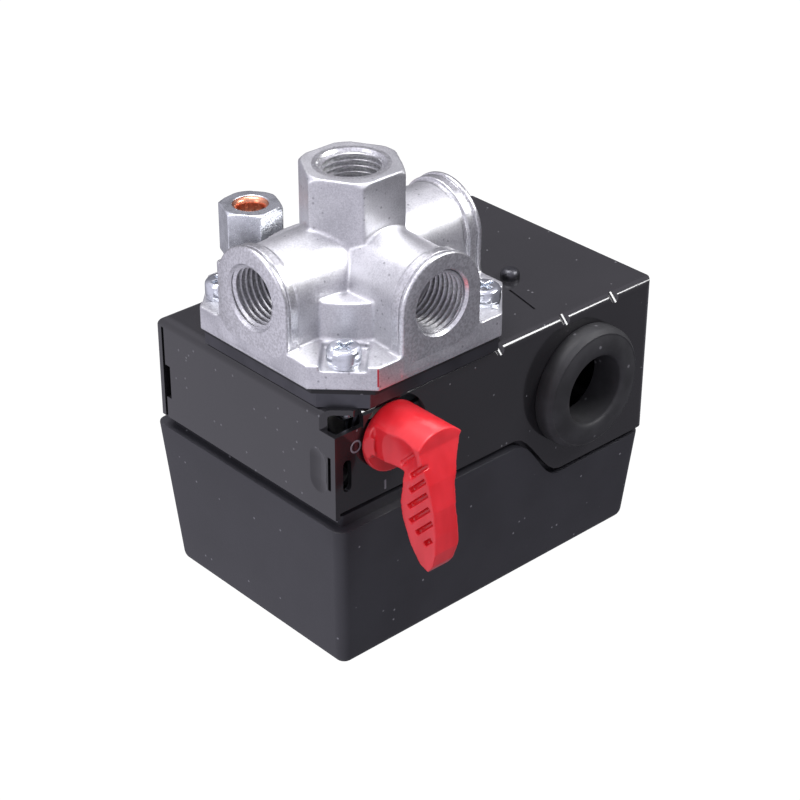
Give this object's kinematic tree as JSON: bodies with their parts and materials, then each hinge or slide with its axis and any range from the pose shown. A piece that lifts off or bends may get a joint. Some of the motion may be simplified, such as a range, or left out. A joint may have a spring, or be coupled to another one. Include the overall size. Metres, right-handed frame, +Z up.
{
  "type": "pressure switch",
  "caption": "Air-compressor pressure switch: black steel base and plastic cover, cast manifold with threaded ports, red on/off knob, cable grommets and side unloader valve.",
  "frame": {"origin": "on the tank port's axis, in the plane of the cover's closed face that the switch stands on", "axes": "+Z up along the tank port, +X along the long side towards the cable entries, +Y to the side with the unloader valve"},
  "size_m": [0.0936, 0.0888, 0.1023],
  "materials": {
    "black_steel": "glossy black coat on formed sheet steel",
    "die_cast": "as-cast grain with machined port faces",
    "zinc": "bright zinc plate",
    "dark_steel": "black oxide",
    "steel": "plain steel",
    "cover_plastic": "satin charcoal moulding",
    "red_plastic": "slightly see-through moulded red",
    "grommet_rubber": "matt with dust",
    "diaphragm_rubber": "smooth sheet rubber",
    "copper": "bare copper",
    "brass": "bright brass",
    "silver_tip": "contact silver",
    "block_plastic": "black phenolic",
    "carrier_plastic": "ivory nylon",
    "spring_steel": "drawn wire",
    "fibre": "red-brown insulating fibre"
  },
  "bodies": {
    "base": {"base_frame": "black_steel", "cover": "cover_plastic", "cover_post": "zinc", "cover_screw": "zinc", "manifold": "die_cast", "manifold_screws": "zinc", "spring_washers": "zinc", "diaphragm_seat": "dark_steel", "diaphragm": "diaphragm_rubber", "lever_bracket": "zinc", "pivot_pin": "steel", "pivot_clips": "dark_steel", "range_stud": "dark_steel", "range_spring": "spring_steel", "shaft_bush": "carrier_plastic", "contact_block": "block_plastic", "fixed_contacts": "brass", "contact_tips": "silver_tip", "terminal_clamps": "zinc", "terminal_screws": "zinc", "block_screws": "zinc", "carrier_springs": "spring_steel", "front_grommet": "grommet_rubber", "rear_grommet": "grommet_rubber", "ground_screws": "brass", "insulating_sheet": "fibre", "unloader_body": "brass", "unloader_screws": "zinc", "unloader_spring": "spring_steel", "tube_nut": "zinc", "ferrule": "copper"},
    "rocker": {"rocker": "zinc", "spring_seat": "steel"},
    "push_plate": {"push_plate": "steel"},
    "knob": {"knob": "red_plastic", "knob_shaft": "steel", "shaft_clip": "dark_steel"},
    "carrier": {"contact_carrier": "carrier_plastic", "contact_bridges": "copper", "bridge_tips": "silver_tip", "bridge_springs": "spring_steel"},
    "unloader_stem": {"unloader_stem": "steel"},
    "spring_cup": {"spring_cup": "steel"},
    "range_nut": {"range_nut": "zinc"}
  },
  "joints": [
    {"name": "knob_turn", "type": "hinge", "parent": "base", "child": "knob", "pos_m": [-0.0115, 0, 0.054], "axis": [0, -1, 0], "range_deg": [-2, 42]},
    {"name": "carrier_lift", "type": "slide", "parent": "base", "child": "carrier", "axis": [0, 0, -1], "range_m": [0, 0.00274], "deforming": ["carrier_springs"]},
    {"name": "unloader_valve", "type": "slide", "parent": "base", "child": "unloader_stem", "axis": [0, 0, -1], "range_m": [-0.00015, 0.0029], "deforming": ["unloader_spring"]},
    {"name": "rocker_hinge", "type": "hinge", "parent": "base", "child": "rocker", "pos_m": [-0.02, 0, 0.045], "axis": [0, 1, 0], "range_deg": [0, 3], "stiffness_Nm_per_rad": 5, "springref_deg": -5.73, "deforming": ["range_spring"]},
    {"name": "push_plate_slide", "type": "slide", "parent": "base", "child": "push_plate", "axis": [0, 0, -1], "range_m": [0, 0.00106]},
    {"name": "range_nut_turn", "type": "hinge", "parent": "spring_cup", "child": "range_nut", "pos_m": [0.043, -0.0036, 0.018], "axis": [0, 0, 1], "range_deg": [-380, 380]},
    {"name": "spring_cup_slide", "type": "slide", "parent": "base", "child": "spring_cup", "axis": [0, 0, 1], "range_m": [-0.0008, 0.0008]}
  ],
  "couplings": [
    {"joint": "knob_turn", "follows": "carrier_lift", "rad_per_m": 255.14},
    {"joint": "unloader_valve", "follows": "carrier_lift", "ratio": 0.9999},
    {"joint": "push_plate_slide", "follows": "rocker_hinge", "m_per_rad": 0.02},
    {"joint": "range_nut_turn", "follows": "spring_cup_slide", "rad_per_m": 7853.2}
  ]
}
